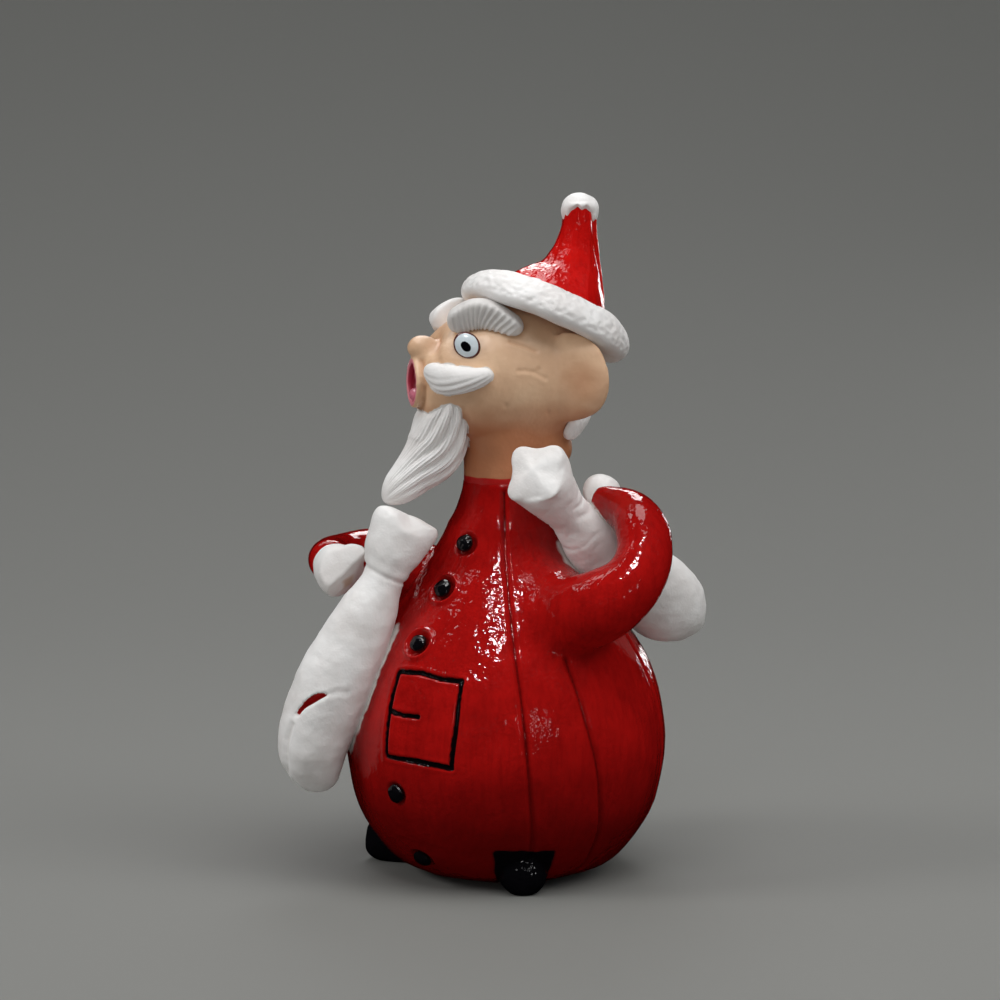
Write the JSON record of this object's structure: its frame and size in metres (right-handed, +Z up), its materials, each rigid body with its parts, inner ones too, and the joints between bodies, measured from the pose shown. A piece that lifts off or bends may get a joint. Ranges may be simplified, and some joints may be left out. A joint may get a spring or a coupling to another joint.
{
  "type": "figurine",
  "caption": "Hand-built glazed clay figurine of a round bearded man in a red coat and a cocked hat, carrying long white bundles.",
  "frame": {"origin": "centre of the coat's flat underside, on the floor", "axes": "+Z up; -Y to the front of the coat, which the buttons face; +X to the figure's own left"},
  "size_m": [0.0892, 0.0863, 0.1514],
  "materials": {
    "red_glaze": "glossy brushed glaze",
    "matt_white": "matt",
    "flesh": "semi-matt",
    "black_gloss": "glossy",
    "eye_white": "glossy",
    "pink": "satin"
  },
  "bodies": {
    "root": {"coat": "red_glaze", "sleeve_left": "red_glaze", "sleeve_right": "red_glaze", "mitten_left": "matt_white", "mitten_right": "matt_white", "sack_left": "matt_white", "sack_right": "matt_white", "button_1": "black_gloss", "button_2": "black_gloss", "button_3": "black_gloss", "button_4": "black_gloss", "button_5": "black_gloss", "boot_left": "black_gloss", "boot_right": "black_gloss", "head": "flesh", "ear_left": "flesh", "ear_right": "flesh", "eye_left": "eye_white", "eye_right": "eye_white", "tongue": "pink", "brow_left": "matt_white", "brow_right": "matt_white", "moustache_left": "matt_white", "moustache_right": "matt_white", "beard": "matt_white", "hair_back": "matt_white", "hat_brim": "matt_white", "hat_cone": "red_glaze", "hat_pompom": "matt_white"}
  },
  "joints": []
}
